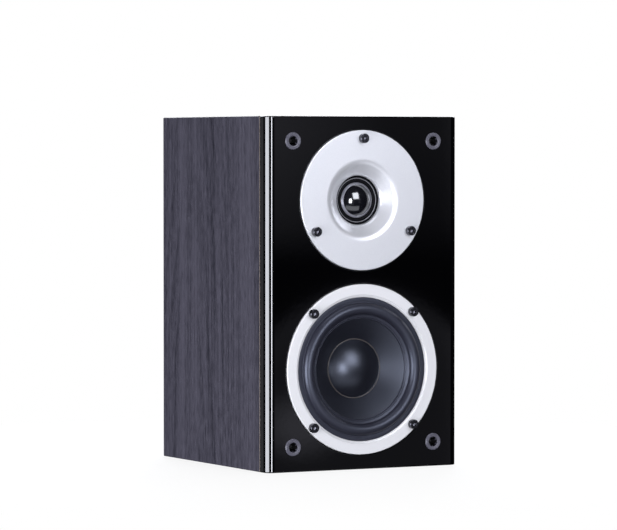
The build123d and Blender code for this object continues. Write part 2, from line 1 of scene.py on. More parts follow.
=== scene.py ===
import json
import math
import bpy
import numpy as np
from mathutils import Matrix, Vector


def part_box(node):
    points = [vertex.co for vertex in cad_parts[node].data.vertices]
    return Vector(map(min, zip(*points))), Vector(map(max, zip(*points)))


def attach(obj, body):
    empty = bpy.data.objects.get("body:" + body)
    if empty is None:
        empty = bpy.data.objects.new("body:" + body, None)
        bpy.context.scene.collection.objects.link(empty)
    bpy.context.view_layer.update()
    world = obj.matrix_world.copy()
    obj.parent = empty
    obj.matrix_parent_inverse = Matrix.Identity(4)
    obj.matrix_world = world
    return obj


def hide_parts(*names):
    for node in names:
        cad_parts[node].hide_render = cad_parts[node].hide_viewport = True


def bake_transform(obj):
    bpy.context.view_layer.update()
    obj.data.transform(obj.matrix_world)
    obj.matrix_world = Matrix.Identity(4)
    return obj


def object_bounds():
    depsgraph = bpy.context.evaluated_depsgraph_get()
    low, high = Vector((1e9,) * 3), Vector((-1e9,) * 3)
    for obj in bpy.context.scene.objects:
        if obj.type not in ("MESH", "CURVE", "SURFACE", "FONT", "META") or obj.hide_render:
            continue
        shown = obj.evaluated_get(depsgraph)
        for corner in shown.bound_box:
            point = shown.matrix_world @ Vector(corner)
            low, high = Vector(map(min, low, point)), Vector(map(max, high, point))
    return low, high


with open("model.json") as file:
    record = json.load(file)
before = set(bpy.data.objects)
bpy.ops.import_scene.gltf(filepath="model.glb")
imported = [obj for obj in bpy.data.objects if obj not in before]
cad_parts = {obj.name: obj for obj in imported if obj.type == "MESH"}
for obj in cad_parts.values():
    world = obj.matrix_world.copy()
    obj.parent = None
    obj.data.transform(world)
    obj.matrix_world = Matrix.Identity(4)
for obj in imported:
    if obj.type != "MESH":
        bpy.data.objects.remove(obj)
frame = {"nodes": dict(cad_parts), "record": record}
bpy.context.view_layer.update()
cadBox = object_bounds()
mm = 0.001
print("stage: frame loaded")


class Wire:
    # a node's output; arithmetic on wires adds the Math nodes that work it out
    def __init__(self, nodes, socket):
        self.nodes, self.socket = nodes, socket

    def math(self, operation, *values):
        return self.nodes.node("ShaderNodeMath", {"operation": operation}, dict(enumerate(values)))

    def __add__(self, other):
        return self.math("ADD", self, other)

    __radd__ = __add__

    def __mul__(self, other):
        return self.math("MULTIPLY", self, other)

    __rmul__ = __mul__

    def __sub__(self, other):
        return self.math("SUBTRACT", self, other)

    def __rsub__(self, other):
        return self.math("SUBTRACT", other, self)

    def __truediv__(self, other):
        return self.math("DIVIDE", self, other)

    def __rtruediv__(self, other):
        return self.math("DIVIDE", other, self)

    def __pow__(self, other):
        return self.math("POWER", self, other)

    def __rpow__(self, other):
        return self.math("POWER", other, self)

    def sine(self):
        return self.math("SINE", self)

    def fraction(self):
        return self.math("FRACT", self)

    def below(self, limit):
        return self.math("LESS_THAN", self, limit)


class Nodes:
    # a node tree that starts empty; the method node makes every node in it
    def __init__(self, tree):
        self.tree = tree
        tree.nodes.clear()

    def feed(self, socket, value):
        if isinstance(value, Wire):
            self.tree.links.new(value.socket, socket)
        else:
            socket.default_value = value

    def node(self, kind, settings=None, sockets=None, outputs=(0,)):
        # gives back one wire, or a list where outputs names none or several
        made = self.tree.nodes.new(kind)
        for label, value in (settings or {}).items():
            if label == "stops":
                self.setStops(made.color_ramp, value)
            else:
                setattr(made, label, value)
        for label, value in (sockets or {}).items():
            self.feed(made.inputs[label], value)
        wires = [Wire(self, made.outputs[label]) for label in outputs]
        return wires[0] if len(wires) == 1 else wires

    def setStops(self, ramp, stops):
        while len(ramp.elements) < len(stops):
            ramp.elements.new(0.5)
        for element, (at, value) in zip(ramp.elements, stops):
            element.position = at
            element.color = (*value, 1.0)

    def vector(self, operation, *values, output="Vector"):
        sockets = dict(enumerate(values))
        return self.node("ShaderNodeVectorMath", {"operation": operation}, sockets, (output,))

    def axes(self, vector):
        return self.node("ShaderNodeSeparateXYZ", {}, {0: vector}, (0, 1, 2))

    def joined(self, x, y, z):
        return self.node("ShaderNodeCombineXYZ", {}, {0: x, 1: y, 2: z})


class Paint(Nodes):
    # one material: a Principled shader and the nodes that feed it
    def __init__(self, name, base, roughness, **fixed):
        self.material = bpy.data.materials.new(name)
        self.material.use_nodes = True
        super().__init__(self.material.node_tree)
        self.shader = self.node("ShaderNodeBsdfPrincipled")
        for label, value in {"Base Color": (*base, 1.0), "Roughness": roughness, **fixed}.items():
            self.wear(label, value)

    def wear(self, label, value):
        self.feed(self.shader.socket.node.inputs[label.replace("_", " ")], value)

    def finished(self, surface=None):
        self.node("ShaderNodeOutputMaterial", {}, {0: surface or self.shader}, ())
        return self.material

    def place(self):
        return self.node("ShaderNodeTexCoord", outputs=("Object",))

    def noise(self, vector, scale=1.0, detail=2.0, roughness=0.5):
        return self.node("ShaderNodeTexNoise", {}, {
            "Vector": vector, "Scale": scale, "Detail": detail, "Roughness": roughness})

    def cells(self, vector, scale, output="Distance"):
        return self.node("ShaderNodeTexVoronoi", {}, {"Vector": vector, "Scale": scale}, (output,))

    def ramp(self, value, *stops):
        greys = [(at, (shade,) * 3) for at, shade in stops]
        return self.node("ShaderNodeValToRGB", {"stops": greys}, {0: value})

    def colour(self, value):
        return value if isinstance(value, Wire) else (*value, 1.0)

    def blendColour(self, share, first, second):
        sockets = {0: share, 6: self.colour(first), 7: self.colour(second)}
        return self.node("ShaderNodeMix", {"data_type": "RGBA"}, sockets, (2,))

    def bump(self, height, distance, strength):
        sockets = {"Height": height, "Distance": distance, "Strength": strength}
        self.wear("Normal", self.node("ShaderNodeBump", {}, sockets))


def dimmed(colour, share):
    # the colour times a share, for the darker end of a finish
    return tuple(c * share for c in colour)


ashVinyl = {
    "light": (0.0480, 0.0450, 0.0600), "dark": (0.0085, 0.0080, 0.0135), "edgeHighlight": (0.095, 0.072, 0.058),
    "archPeriod": 0.105, "streakPeriod": 0.0085, "archRadius": 0.026, "stripes": 400.0, "edgeWidth": 0.0005}


def paintAshVinyl(name, acrossAxis, alongAxis, archCentre):
    # cathedral figure: rings = along / period + (sqrt(across^2 + radius^2) - radius) / streak, bent by
    # noise; the fraction of that is early to late wood, faint where fine straight stripes take over, and
    # long thin noise gives the fibres and the open pores
    look = ashVinyl
    paint = Paint(name, look["light"], 0.5, Specular_IOR_Level=0.28)
    place = paint.axes(paint.place())
    along, flat = place[alongAxis], place[acrossAxis]
    across = flat - archCentre
    slow = paint.noise(paint.joined(across * 16.0, along * 2.4, 0.7), detail=3.0)
    slower = paint.noise(paint.joined(across * 5.0, along * 4.5, 4.1), detail=1.0)
    bent = across + (slower - 0.5) * 0.030
    arch = ((bent * bent + look["archRadius"] ** 2) ** 0.5 - look["archRadius"]) / look["streakPeriod"]
    rings = along / look["archPeriod"] + arch + slow * 3.4
    late = paint.ramp(rings.fraction(), (0.0, 0.05), (0.45, 0.22), (0.80, 0.85), (0.93, 0.60), (1.0, 0.05))
    broad = paint.noise(paint.joined(across * 80.0, along * 1.3, 9.3), detail=2.0)
    fine = paint.joined(across * look["stripes"], along * 3.0, 5.0)
    stripes = paint.noise(fine, detail=4.0, roughness=0.7)
    strips = paint.noise(paint.joined(across * 22.0, along * 1.2, 7.7), detail=1.0)
    calm = paint.ramp(strips, (0.40, 0.25), (0.62, 1.0))
    fibre = paint.noise(paint.joined(across * 560.0, along * 90.0, 2.0), detail=5.0, roughness=0.7)
    pores = paint.ramp(fibre, (0.34, 1.0), (0.50, 0.0))
    shade = late * calm * 0.20 + broad * 0.34 + stripes * 0.62 + fibre * 0.80
    tone = paint.ramp(shade * 0.8, (0.62, 0.0), (0.92, 1.0))
    figure = paint.blendColour(tone, look["light"], look["dark"])
    # painted highlight: a thin tan band along the panel's front edge, where the vinyl's edge catches the
    # light
    edge = (place[1] - seam).below(look["edgeWidth"])
    paint.wear("Base Color", paint.blendColour(edge, figure, look["edgeHighlight"]))
    paint.wear("Roughness", 0.46 + pores * 0.14 + late * 0.04)
    paint.bump(1.0 - pores * 0.7 - late * 0.2 - stripes * 0.4, 0.00010, 0.5)
    return paint.finished()


def paintLacquer():
    # deep black under clear lacquer; a slow ripple, like orange peel, breaks the reflections a little
    paint = Paint("blackLacquer", (0.0006, 0.0006, 0.0008), 0.05, IOR=1.6)
    spot = paint.place()
    peel = paint.noise(spot, scale=260.0, detail=1.0)
    dust = paint.ramp(paint.noise(spot, scale=900.0, detail=2.0), (0.68, 0.0), (0.80, 1.0))
    paint.wear("Roughness", 0.045 + dust * 0.05)
    paint.bump(peel, 0.000012, 0.35)
    return paint.finished()


def paintBrushed(name, base, roughness, metallic, centre, contrast):
    # turned metal: noise read at (direction round the centre, radius * many) makes fine rings
    paint = Paint(name, base, roughness, Metallic=metallic)
    flat = paint.vector("MULTIPLY", paint.vector("SUBTRACT", paint.place(), centre), (1.0, 0.0, 1.0))
    radius = paint.vector("LENGTH", flat, output="Value")
    hx, _, hz = paint.axes(paint.vector("NORMALIZE", flat))
    lines = paint.noise(paint.joined(hx * 1.5, hz * 1.5, radius * 5200.0), detail=3.0)
    grains = paint.noise(paint.place(), scale=2400.0, detail=2.0)
    shade = lines * 0.6 + grains * 0.4
    bright = paint.ramp(shade, (0.3, 0.0), (0.7, 1.0))
    paint.wear("Base Color", paint.blendColour(bright, dimmed(base, 1.0 - contrast), base))
    paint.wear("Roughness", roughness - 0.04 + shade * 0.10)
    paint.bump(shade, 0.00002, 0.25)
    return paint.finished()


def paintSilver():
    # metallic paint: flakes from a cell pattern lift the tone a little, over a very fine orange peel
    paint = Paint("silverPlate", (0.72, 0.725, 0.75), 0.33, Metallic=0.55)
    spot = paint.place()
    sparkle, _, _ = paint.axes(paint.cells(spot, 5200.0, "Color"))
    peel = paint.noise(spot, scale=700.0, detail=2.0)
    paint.wear("Base Color", paint.blendColour(sparkle, (0.685, 0.690, 0.718), (0.750, 0.755, 0.779)))
    paint.wear("Roughness", 0.29 + sparkle * 0.08)
    paint.bump(peel, 0.00001, 0.3)
    return paint.finished()


def paintMoulded(name, base, roughness, grain=0.00003, scale=1400.0, spread=0.16, **fixed):
    # moulded plastic or rubber: a fine leathery grain, and patches that are a little shinier or duller
    paint = Paint(name, base, roughness, **fixed)
    spot = paint.place()
    fine = paint.noise(spot, scale=scale, detail=3.0, roughness=0.6)
    patch = paint.noise(spot, scale=45.0, detail=3.0)
    high = tuple(min(1.0, c * (1.0 + spread)) for c in base)
    paint.wear("Base Color", paint.blendColour(fine * 0.6 + patch * 0.4, dimmed(base, 1.0 - spread), high))
    paint.wear("Roughness", roughness - 0.06 + patch * 0.12)
    paint.bump(fine, grain, 0.6)
    return paint.finished()


def paintSocket():
    # grey moulding: fine grain, and painted shade that falls to black below the mouth, where the bore lies
    # in shadow
    paint = Paint("socketGrey", (0.125, 0.120, 0.150), 0.42)
    spot = paint.place()
    _, y, _ = paint.axes(spot)
    fine = paint.noise(spot, scale=1400.0, detail=3.0, roughness=0.6)
    # painted shade: below the mouth the bore is blended to near black, as if in shadow
    boreShade = paint.ramp((y - (socketFace + 0.0005)) * 1100.0, (0.0, 0.0), (1.0, 1.0))
    shell = paint.blendColour(fine, (0.062, 0.060, 0.079), (0.082, 0.080, 0.102))
    paint.wear("Base Color", paint.blendColour(boreShade, shell, (0.004, 0.004, 0.005)))
    paint.bump(fine, 0.00003, 0.6)
    return paint.finished()


def paintMetal(name, base, roughness, metallic=1.0):
    # plain worked metal: cloudy colour, fine scratches and slightly uneven polish
    paint = Paint(name, base, roughness, Metallic=metallic)
    spot = paint.place()
    cloud = paint.noise(spot, scale=120.0, detail=4.0)
    scratch = paint.noise(paint.vector("MULTIPLY", spot, (2400.0, 300.0, 2400.0)), detail=3.0)
    paint.wear("Base Color", paint.blendColour(cloud, dimmed(base, 0.88), base))
    paint.wear("Roughness", roughness - 0.05 + cloud * 0.06 + scratch * 0.06)
    paint.bump(scratch, 0.00001, 0.4)
    return paint.finished()


def paintWeave(name, base, scale):
    # plain weave: the product of two sine waves, one turned a quarter, lifts threads over and under; painted
    # shade darkens the threads where they dip under
    paint = Paint(name, base, 0.85, Sheen_Weight=0.2)
    x, y, z = paint.axes(paint.vector("MULTIPLY", paint.place(), (scale,) * 3))
    weave = (x + y).sine() * (z - y * 0.3).sine() * 0.5 + 0.5
    fuzz = paint.noise(paint.place(), scale=900.0, detail=3.0)
    # painted shade in the dips of the weave, mixed with a random fuzz tone
    paint.wear("Base Color", paint.blendColour(weave * 0.7 + fuzz * 0.3, dimmed(base, 0.6), base))
    paint.bump(weave, 0.00015, 0.6)
    return paint.finished()


def paintFoam(name, base):
    # open cells: a crackle of Voronoi cells sinks pits into the surface, and painted shade darkens the pits
    paint = Paint(name, base, 0.95)
    pits = paint.cells(paint.place(), 900.0)
    # painted shade: the pits' floors get a darker copy of the base colour
    pitShading = paint.ramp(pits, (0.05, 0.0), (0.5, 1.0))
    paint.wear("Base Color", paint.blendColour(pitShading, dimmed(base, 0.45), base))
    paint.bump(pits, 0.0004, 0.7)
    return paint.finished()


def paintWound(name, base, pitch):
    # enamelled wire: a sine along each axis at the wire's pitch gives rows of turns, with painted shade in
    # the grooves between them
    paint = Paint(name, base, 0.28, Metallic=1.0, Coat_Weight=0.6)
    x, y, z = paint.axes(paint.vector("MULTIPLY", paint.place(), (2 * math.pi / pitch,) * 3))
    rows = (x.sine() + y.sine() + z.sine()) * 0.33
    # painted shade: the colour darkens in the grooves between turns
    paint.wear("Base Color", paint.blendColour(rows * 0.5 + 0.5, dimmed(base, 0.55), base))
    paint.bump(rows, 0.0001, 0.7)
    return paint.finished()


def middleOf(node):
    low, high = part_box(node)
    return (low + high) / 2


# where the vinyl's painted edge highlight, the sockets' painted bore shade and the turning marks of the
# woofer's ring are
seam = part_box("left_side_panel")[0].y
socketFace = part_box("front_baffle")[0].y
wooferMiddle = middleOf("woofer_trim_ring")
coolSheen = (0.74, 0.81, 1.0, 1.0)
finishes = {
    "black_ash_vinyl": paintAshVinyl("ashVinylSides", 1, 2, 0.035),
    "black_lacquer": paintLacquer(),
    "silver_plate": paintSilver(),
    "silver_ring": paintBrushed("silverRing", (0.655, 0.65, 0.655), 0.36, 0.12, tuple(wooferMiddle), 0.072),
    "grey_socket_plastic": paintSocket(),
    "black_oxide_steel": paintMetal("blackOxide", (0.050, 0.050, 0.060), 0.22, metallic=0.9),
    "rubber_surround": paintMoulded(
        "rubberRoll", (0.014, 0.014, 0.021), 0.40, grain=0.00001, Specular_IOR_Level=0.65,
        Specular_Tint=coolSheen),
    "foam_gasket": paintFoam("foamGasket", (0.03, 0.03, 0.03)),
    "black_cone": paintMoulded(
        "coneBlack", (0.0050, 0.0050, 0.0078), 0.42, grain=0.00001, spread=0.2, Specular_IOR_Level=0.9,
        Specular_Tint=coolSheen),
    "dust_cap_black": paintMoulded(
        "dustCapBlack", (0.0035, 0.0035, 0.0055), 0.35, grain=0.00001, Specular_IOR_Level=0.9,
        Specular_Tint=coolSheen),
    "gloss_dome": paintMoulded(
        "domeGloss", (0.004, 0.004, 0.006), 0.10, grain=0.000002, spread=0.1, Specular_IOR_Level=0.9,
        IOR=1.68),
    "doped_cloth": paintMoulded("dopedCloth", (0.002, 0.002, 0.003), 0.55, Specular_IOR_Level=0.08),
    "spider_cloth": paintWeave("spiderCloth", (0.50, 0.34, 0.12), 9000.0),
    "black_moulding": paintMoulded("blackMoulding", (0.014, 0.014, 0.016), 0.45, grain=0.00006),
    "pressed_steel": paintMoulded("paintedSteel", (0.03, 0.03, 0.033), 0.4),
    "zinc_steel": paintMetal("zincSteel", (0.55, 0.56, 0.56), 0.33),
    "ferrite": paintMoulded("ferrite", (0.05, 0.05, 0.055), 0.7, grain=0.00008),
    "coil_former": paintMetal("formerFoil", (0.75, 0.74, 0.7), 0.25),
    "copper_winding": paintWound("copperWinding", (0.70, 0.28, 0.10), 0.0009),
    "tag_board": paintMoulded("hardPaper", (0.24, 0.11, 0.04), 0.5),
    "gold_plate": paintMetal("goldPlate", (0.93, 0.66, 0.26), 0.18),
    "tinned_tag": paintMetal("tinnedTag", (0.72, 0.72, 0.70), 0.25),
    "red_plastic": paintMoulded("redPlastic", (0.42, 0.008, 0.008), 0.25, grain=0.00001, spread=0.08),
    "black_plastic": paintMoulded("blackPlastic", (0.012, 0.012, 0.013), 0.25, grain=0.00001),
    "circuit_board": paintMoulded("circuitBoard", (0.02, 0.12, 0.04), 0.3),
    "white_nylon": paintMoulded("whiteNylon", (0.74, 0.73, 0.68), 0.45),
    "capacitor_film": paintMoulded("capacitorTape", (0.75, 0.48, 0.05), 0.3),
    "white_cement": paintMoulded("whiteCement", (0.80, 0.78, 0.72), 0.8, grain=0.0001),
    "wire_jacket": paintMoulded("wireJacket", (0.35, 0.01, 0.01), 0.4),
    "grey_foam": paintFoam("greyFoam", (0.10, 0.10, 0.11)),
}
slotOf = {part["node"]: part["material_slot"] for part in frame["record"]["subparts"]}
lyingAsh = paintAshVinyl("ashVinylLying", 1, 0, 0.010)
ashOf = {
    "top_panel": lyingAsh, "bottom_panel": lyingAsh, "rear_panel": paintAshVinyl("ashVinylRear", 0, 2, 0.02)}
for node, obj in frame["nodes"].items():
    finish = ashOf.get(node, finishes[slotOf[node]])
    obj.data.materials.clear()
    obj.data.materials.append(finish)
print("stage: finishes made")


def softOutline(corners, steps=7):
    # corners are (radius, depth, rounding); each is replaced by an arc that touches both of its straight
    # runs, at distance rounding / tan(half the corner's angle) from the corner
    points = [np.array(c[:2], float) for c in corners]
    line = [points[0]]
    for before, here, after, corner in zip(points, points[1:], points[2:], corners[1:]):
        rounding = corner[2] if len(corner) > 2 else 0.0
        back, ahead = before - here, after - here
        backLength, aheadLength = np.linalg.norm(back), np.linalg.norm(ahead)
        back, ahead = back / backLength, ahead / aheadLength
        half = math.acos(max(-1.0, min(1.0, float(back @ ahead)))) / 2
        if rounding <= 0 or half > math.pi / 2 - 0.01:
            line.append(here)
            continue
        reach = min(rounding / math.tan(half), 0.48 * backLength, 0.48 * aheadLength)
        radius = reach * math.tan(half)
        middle = here + (back + ahead) / np.linalg.norm(back + ahead) * radius / math.sin(half)
        first, last = here + back * reach - middle, here + ahead * reach - middle
        turn = math.atan2(first[0] * last[1] - first[1] * last[0], float(first @ last))
        for share in np.linspace(0, 1, steps):
            c, s = math.cos(turn * share), math.sin(turn * share)
            line.append(middle + np.array([first[0] * c - first[1] * s, first[0] * s + first[1] * c]))
    line.append(points[-1])
    return np.array(line)


def supported(line, gap=0.12):
    # each long straight run gets a point close to both of its ends, so that flats stay flat when shaded
    made = [line[0]]
    for here, after in zip(line, line[1:]):
        length = np.linalg.norm(after - here)
        if length > 4 * gap:
            step = (after - here) / length * gap
            made += [here + step, after - step]
        made.append(after)
    return np.array(made)


def surfaceMesh(name, grid, wrapColumns=True):
    # grid is rows of points; quads join each row to the next, the poles are closed with triangles, and the
    # whole is turned right side out by the sign of the volume it encloses
    rows, columns = grid.shape[:2]
    points = grid.reshape(-1, 3)
    index = np.arange(rows * columns).reshape(rows, columns)
    lower, upper = index[:-1], index[1:]
    if wrapColumns:
        quads = np.stack([lower, np.roll(lower, -1, 1), np.roll(upper, -1, 1), upper], -1)
    else:
        quads = np.stack([lower[:, :-1], lower[:, 1:], upper[:, 1:], upper[:, :-1]], -1)
    quads = quads.reshape(-1, 4)
    # points that coincide, such as a pole's, become one
    keys = np.round(points / 1e-8).astype(np.int64)
    _, first, same = np.unique(keys, axis=0, return_index=True, return_inverse=True)
    points, quads = points[first], same.reshape(-1)[quads]
    ab, bc, cd, da = (quads[:, k] == quads[:, (k + 1) % 4] for k in range(4))
    whole = quads[~(ab | bc | cd | da)]
    thin = np.concatenate([quads[ab][:, [1, 2, 3]], quads[bc & ~ab][:, [0, 1, 3]],
                           quads[cd & ~ab & ~bc][:, [0, 1, 2]], quads[da & ~ab & ~bc & ~cd][:, [0, 1, 2]]])
    thin = thin[(thin[:, 0] != thin[:, 1]) & (thin[:, 1] != thin[:, 2]) & (thin[:, 2] != thin[:, 0])]
    triangles = np.concatenate([whole[:, [0, 1, 2]], whole[:, [0, 2, 3]], thin])
    a, b, c = (points[triangles[:, k]] - points.mean(0) for k in range(3))
    if np.einsum("ij,ij->", a, np.cross(b, c)) < 0:
        whole, thin = whole[:, ::-1], thin[:, ::-1]
    mesh = bpy.data.meshes.new(name)
    mesh.vertices.add(len(points))
    mesh.vertices.foreach_set("co", points.astype(np.float32).ravel())
    loops = np.concatenate([whole.ravel(), thin.ravel()]).astype(np.int32)
    totals = np.concatenate([np.full(len(whole), 4), np.full(len(thin), 3)]).astype(np.int32)
    starts = np.concatenate([[0], np.cumsum(totals)[:-1]]).astype(np.int32)
    mesh.loops.add(len(loops))
    mesh.loops.foreach_set("vertex_index", loops)
    mesh.polygons.add(len(totals))
    mesh.polygons.foreach_set("loop_start", starts)
    mesh.polygons.foreach_set("use_smooth", np.ones(len(totals), bool))
    mesh.update(calc_edges=True)
    mesh.validate()
    return mesh


def pieceFrom(name, mesh, finish):
    # finish is a key of finishes, or a material of the piece's own
    piece = bpy.data.objects.new(name, mesh)
    bpy.context.scene.collection.objects.link(piece)
    mesh.materials.append(finishes.get(finish, finish))
    return piece


def turnedGrid(line, centre, segments=192, ripple=None):
    # every outline point (radius, depth) in mm goes round the Y axis through centre:
    # x = radius cos a, y = depth, z = radius sin a; ripple(radius, depth, a) may change the radius
    angle = np.linspace(0, 2 * math.pi, segments, endpoint=False)
    radius = np.repeat(line[:, :1], segments, axis=1)
    depth = np.repeat(line[:, 1:], segments, axis=1)
    if ripple is not None:
        radius = ripple(radius, depth, angle[None, :])
    x, z = radius * np.cos(angle) * mm, radius * np.sin(angle) * mm
    return np.stack([x + centre[0], depth * mm + centre[1], z + centre[2]], -1)


def spun(name, finish, line, centre, segments=192, ripple=None):
    # an outline carried once round the axis
    return pieceFrom(name, surfaceMesh(name, turnedGrid(line, centre, segments, ripple)), finish)


def turned(name, finish, corners, centre, segments=192, ripple=None, steps=7):
    # the same from corners, which are rounded first
    return spun(name, finish, supported(softOutline(corners, steps)), centre, segments, ripple)


def rollArc(middle, half, tall, plane, count):
    # half an ellipse: radius = middle + half cos a, depth = plane - tall sin a
    a = np.linspace(0, math.pi, count)
    return np.stack([middle + half * np.cos(a), plane - tall * np.sin(a)], -1)


def joinedPieces(name, pieces):
    # several copies of a shape become one piece
    bpy.ops.object.select_all(action="DESELECT")
    for piece in pieces:
        piece.select_set(True)
    bpy.context.view_layer.objects.active = pieces[0]
    bpy.ops.object.join()
    pieces[0].name = name
    return pieces[0]


def rideOn(piece, body):
    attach(piece, body)


def standFor(piece, body, node):
    rideOn(piece, body)
    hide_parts(node)


def stretchFor(piece, centre, outer, inner, node):
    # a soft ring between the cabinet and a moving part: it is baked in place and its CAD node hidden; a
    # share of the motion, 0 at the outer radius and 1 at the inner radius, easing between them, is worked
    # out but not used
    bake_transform(piece)
    count = len(piece.data.vertices)
    points = np.zeros(count * 3, np.float32)
    piece.data.vertices.foreach_get("co", points)
    points = points.reshape(-1, 3).astype(float)
    radius = np.hypot(points[:, 0] - centre[0], points[:, 2] - centre[2]) / mm
    share = np.clip((outer - radius) / (outer - inner), 0, 1)
    share = share * share * (3 - 2 * share)
    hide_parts(node)


def axisOf(node, y):
    # the point of a round part's axis that lies at y
    middle = middleOf(node)
    return (middle.x, y, middle.z)


# every driver's depths are counted from the baffle's face
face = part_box("front_baffle")[0].y
tweeterCentre = axisOf("tweeter_faceplate", face)
wooferCentre = axisOf("woofer_trim_ring", face)


faceplate = {"rim": 52.0, "front": -0.9, "back": 3.6, "bevel": 0.5, "dish": 28.0, "throat": 18.2}


def makeFaceplate():
    # a turned plate: flat face, a dish in two steps, and the throat's wall
    k = faceplate
    corners = [
        (k["throat"] + 0.6, 8.9), (k["throat"], 8.3, 0.3), (k["throat"] + 0.25, 6.2, 1.2), (19.6, 4.9, 1.2),
        (23.6, 2.0, 5.0), (k["dish"], k["front"], 14.0), (k["rim"], k["front"], k["bevel"]),
        (k["rim"], k["back"], 0.3), (34.0, k["back"], 0.5), (34.0, 8.9, 0.4), (k["throat"] + 0.6, 8.9)]
    piece = turned("tweeterFaceplate", "silver_plate", corners, tweeterCentre, 256)
    standFor(piece, "cabinet", "tweeter_faceplate")


clampRing = {"inner": 16.1, "outer": 27.0, "front": 8.85, "back": 9.9, "bead": 0.45}


def makeClampRing():
    # a flat black ring with one fine bright bead at its inner edge
    k = clampRing
    black = paintMoulded("clampBlack", (0.0015, 0.0015, 0.0025), 0.5, grain=0.00001, Specular_IOR_Level=0.06)
    ring = turned("tweeterClampRing", black, [
        (k["inner"], 9.6), (k["inner"], k["front"], 0.15), (k["outer"], k["front"], 0.1),
        (k["outer"], k["back"]), (19.9, k["back"]), (19.9, 9.6), (k["inner"], 9.6)], tweeterCentre)
    standFor(ring, "cabinet", "tweeter_clamp_ring")
    edge = k["inner"] - 0.05
    bead = turned("tweeterClampBead", paintMetal("clampBead", (0.26, 0.26, 0.28), 0.35, 0.4), [
        (edge, 9.2), (edge, 8.7, 0.15), (edge + k["bead"], 8.7, 0.15), (edge + k["bead"], 8.9),
        (k["inner"] + 0.05, 9.25), (edge, 9.2)], tweeterCentre)
    rideOn(bead, "cabinet")


dome = {"radius": 13.1, "base": 9.3, "apex": 4.1, "skin": 0.35, "collar": 11.4}


def capOutline(radius, base, apex, count=30):
    # a spherical cap: depth = apex + R - sqrt(R^2 - r^2) with R from the cap's rise
    rise = base - apex
    big = (radius**2 + rise**2) / (2 * rise)
    r = radius * np.sin(np.linspace(math.pi / 2, 0, count))
    return np.stack([r, apex + big - np.sqrt(big**2 - r**2)], -1)


def makeDome():
    # two spherical caps, one just inside the other, joined at the rim
    k = dome
    outer = capOutline(k["radius"], k["base"], k["apex"])
    inner = capOutline(k["radius"] - k["skin"], k["base"], k["apex"] + k["skin"])[::-1]
    rim = np.array([[k["radius"] - k["skin"], k["base"]], [k["radius"] - 0.1, k["base"] + 0.05]])
    line = np.concatenate([inner, rim, outer])
    skin = spun("tweeterDome", "gloss_dome", line, tweeterCentre, 160)
    standFor(skin, "tweeter_diaphragm", "tweeter_dome")
    # the pale collar where the dome meets its former lies just over the dome's own curve
    rim = outer[outer[:, 0] > k["collar"]]
    over = np.concatenate([rim + [0.02, -0.12], rim[::-1] + [0.0, 0.1], rim[:1] + [0.02, -0.12]])
    pale = paintMetal("domeCollar", (0.30, 0.30, 0.34), 0.32, 0.5)
    rideOn(spun("tweeterDomeCollar", pale, over, tweeterCentre, 160), "tweeter_diaphragm")


# outside and inside: half width, height and plane of the roll's two faces
tweeterRoll = {"middle": 14.55, "outside": (1.35, 0.85, 9.4), "inside": (-1.15, 0.75, 9.75), "flange": 19.6}


def makeTweeterSurround():
    # a flat flange, a half roll, and a foot that is glued to the dome
    k = tweeterRoll
    top = rollArc(k["middle"], *k["outside"], 24)
    under = rollArc(k["middle"], *k["inside"], 24)
    line = np.concatenate([
        [[k["flange"], 9.62], [16.0, 9.62]], top, [[13.15, 9.4], [13.15, 9.65]], under,
        [[15.9, 9.88], [k["flange"], 9.88], [k["flange"], 9.62]]])
    piece = spun("tweeterSurround", "doped_cloth", line, tweeterCentre)
    stretchFor(piece, tweeterCentre, 15.9, 13.2, "tweeter_surround")


trimRing = {"inner": 53.6, "rim": 63.3, "front": -0.9, "back": 1.5, "round": 0.6}


def makeTrimRing():
    # a flat ring whose inner edge steps down to the surround in a fine double bevel
    k = trimRing
    piece = turned("wooferTrimRing", "silver_ring", [
        (k["inner"], k["back"]), (k["inner"], 0.5, 0.1), (54.0, 0.3, 0.1), (54.2, -0.15, 0.1),
        (55.0, -0.4, 0.1), (55.5, k["front"], 0.15), (k["rim"], k["front"], k["round"]),
        (k["rim"], k["back"], 0.1), (k["inner"], k["back"])], wooferCentre, 288)
    standFor(piece, "cabinet", "woofer_trim_ring")


wooferRoll = {"middle": 45.1, "outside": (4.2, 4.0, 0.5), "inside": (-3.6, 3.9, 1.2), "flange": 53.4}


def makeWooferSurround():
    # flange, shallow step, half roll, and an inner flange with two fine ridges that lies on the cone
    k = wooferRoll
    outer = softOutline([
        (k["flange"], 1.5), (k["flange"], 0.5, 0.2), (50.9, 0.5, 0.2), (50.6, 0.75, 0.15), (49.5, 0.75, 0.1),
        (49.3, 0.5)])
    crest = rollArc(k["middle"], *k["outside"], 40)
    inner = softOutline([
        (40.9, 0.5), (40.7, 0.95, 0.2), (39.2, 1.6, 0.1), (39.0, 1.45, 0.1), (38.8, 1.75, 0.1),
        (38.1, 2.15, 0.1), (37.9, 2.05, 0.1), (37.6, 2.6, 0.1), (37.6, 3.2)])
    under = rollArc(k["middle"], *k["inside"], 40)
    line = np.concatenate([
        outer, crest[1:-1], inner, [[41.3, 1.2]], under[1:-1], [[48.8, 1.5], [k["flange"], 1.5]]])
    piece = spun("wooferSurround", "rubber_surround", line, wooferCentre, 224)
    stretchFor(piece, wooferCentre, 49.3, 41.0, "woofer_surround")


